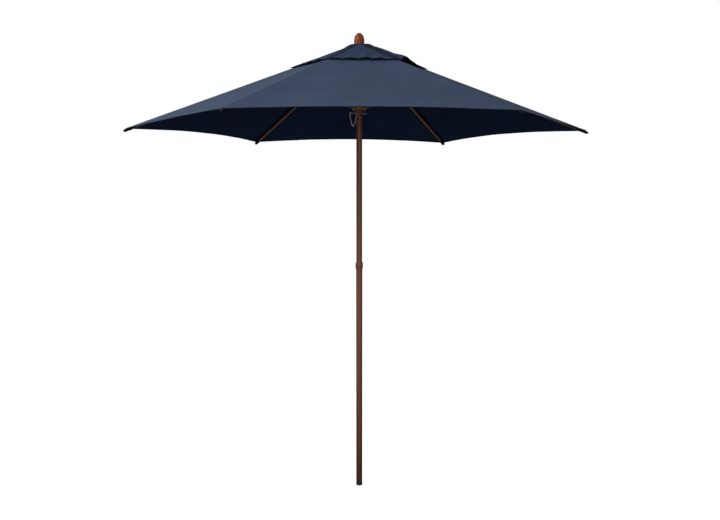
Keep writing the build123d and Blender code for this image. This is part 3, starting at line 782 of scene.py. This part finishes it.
# --- lock chain ----------------------------------------------------------------------------------------
def chain():
    """Oval links along the same hanging line as in the CAD, every other one turned a quarter."""
    hook = LINK_HALF - WIRE - LINK_SLACK
    start = at(LOCK_AZ, LOCK_EYE, LOCK_Z - RING_DROP - RING_R + WIRE - hook)
    end = at(EYE_AZ, NECK_R + EYE_SHANK + EYE_RING_R, EYE_Z - EYE_RING_R + WIRE - hook)
    t = np.linspace(0, 1, 801)[:, None]
    line = start + (end - start) * t - np.array([0, 0, 4 * CHAIN_SAG]) * t * (1 - t)
    run = np.concatenate([[0], np.cumsum(np.linalg.norm(np.diff(line, axis=0), axis=1))])
    links = ceil(run[-1] / LINK_PITCH) + 1
    stations = [run[-1] * n / (links - 1) for n in range(links)]
    middles = np.stack([np.interp(stations, run, line[:, i]) for i in range(3)], -1)
    side = np.cross(middles[-1] - middles[0], (0, 0, 1))
    side /= np.linalg.norm(side)
    straight = LINK_HALF - LINK_BEND
    oval = [(straight * end_side + LINK_BEND * cos(a), LINK_BEND * sin(a), cos(a), sin(a))
            for end_side, first in ((1, -pi / 2), (-1, pi / 2)) for a in np.linspace(first, first + pi, 9)]
    wires = np.linspace(0, 2 * pi, 11)[:-1]
    rounds, m = len(oval), len(wires)
    verts, faces = [], []
    for n, middle in enumerate(middles):
        along = middles[min(n + 1, links - 1)] - middles[max(n - 1, 0)]
        along /= np.linalg.norm(along)
        face = side if n % 2 == 0 else np.cross(along, side)
        across = np.cross(face, along)
        base = len(verts)
        for px, py, nx, ny in oval:
            for w in wires:
                verts.append(middle + along * (px + WIRE * cos(w) * nx) + across * (py + WIRE * cos(w) * ny)
                             + face * WIRE * sin(w))
        for i in range(rounds):
            for j in range(m):
                a, b = (i + 1) % rounds, (j + 1) % m
                faces.append([base + i * m + j, base + a * m + j, base + a * m + b, base + i * m + b])
    obj = link_object("lock_chain_links", smooth_mesh("lock_chain_links", verts, faces, [chain_steel]))
    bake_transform(obj)
    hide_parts("lock_chain")


chain()


# --- stage, light and camera ---------------------------------------------------------------------------
FLOOR = 60                      # half the floor's width
CAMERA_PLACE = (-0.2793, -5.085, 1.7544)
CAMERA_DOWN, CAMERA_TURN = 4.268, -3.195        # degrees
CAMERA_LENS, CAMERA_SENSOR = 42.69, 36          # millimetres


def floor():
    """Pale paper for the camera alone: it doesn't light the object or show in its reflections."""
    g = Graph("floor_paper")
    fibre = g.noise(g.node("TexCoord", out="Object"), 300, 3.0)
    base = g.mix(fibre, grey(0.93), grey(0.97))
    material = g.set(Base_Color=base, Roughness=0.9, Normal=g.bump(fibre, 0.0002, 0.2),
                     Emission_Color=grey(1.0), Emission_Strength=0.55)
    mesh = bpy.data.meshes.new("floor")
    corners = [(-FLOOR, -FLOOR, 0), (FLOOR, -FLOOR, 0), (FLOOR, FLOOR, 0), (-FLOOR, FLOOR, 0)]
    mesh.from_pydata(corners, [], [(0, 1, 2, 3)])
    mesh.materials.append(material)
    obj = link_object("floor", mesh)
    obj.visible_diffuse = obj.visible_glossy = False


def area_light(name, place, target, size, power, colour=(1, 1, 1)):
    light = bpy.data.lights.new(name, "AREA")
    light.shape, light.size, light.energy, light.color = "DISK", size, power, colour
    obj = link_object(name, light)
    obj.location = place
    obj.rotation_euler = (Vector(target) - Vector(place)).to_track_quat("-Z", "Y").to_euler()


def studio_world():
    """White behind the object, and a soft grey light on it that is brighter from above."""
    world = bpy.data.worlds.new("studio")
    bpy.context.scene.world = world
    world.use_nodes = True
    tree = world.node_tree
    tree.nodes.clear()
    output, shown, lit, choose, path, where, axes, rise, ramp = (
        tree.nodes.new("ShaderNode" + kind)
        for kind in ("OutputWorld", "Background", "Background", "MixShader", "LightPath", "TexCoord",
                     "SeparateXYZ", "MapRange", "ValToRGB"))
    rise.inputs["From Min"].default_value, rise.inputs["From Max"].default_value = -1, 1
    for element, (place, value) in zip(ramp.color_ramp.elements, ((0.44, 0.12), (0.75, 0.5))):
        element.position, element.color = place, grey(value)
    shown.inputs["Color"].default_value = grey(1.0)
    for source, target in ((where.outputs["Generated"], axes.inputs[0]),
                           (axes.outputs["Z"], rise.inputs["Value"]),
                           (rise.outputs[0], ramp.inputs[0]),
                           (ramp.outputs["Color"], lit.inputs["Color"]),
                           (path.outputs["Is Camera Ray"], choose.inputs[0]),
                           (lit.outputs[0], choose.inputs[1]),
                           (shown.outputs[0], choose.inputs[2]),
                           (choose.outputs[0], output.inputs[0])):
        tree.links.new(source, target)


floor()
area_light("key", (-4.4, -3.8, 5.8), (0, 0, 2.2), 2.6, 330)
area_light("fill", (5.0, -5.4, 2.4), (0, 0, 1.8), 3.0, 8)
area_light("left", (-6.4, 0.6, 4.4), (0, 0, 2.3), 2.4, 200, (0.82, 1.0, 0.86))
area_light("front", (0.2, -7.6, 1.8), (0, 0, 1.9), 2.4, 150)
studio_world()

camera = bpy.data.cameras.new("camera")
camera.sensor_width, camera.lens = CAMERA_SENSOR, CAMERA_LENS
camera_object = link_object("camera", camera)
camera_object.location = CAMERA_PLACE
camera_object.rotation_euler = Euler((radians(90 - CAMERA_DOWN), 0, radians(CAMERA_TURN)))
bpy.context.scene.camera = camera_object
bpy.context.scene.view_settings.view_transform = "Standard"
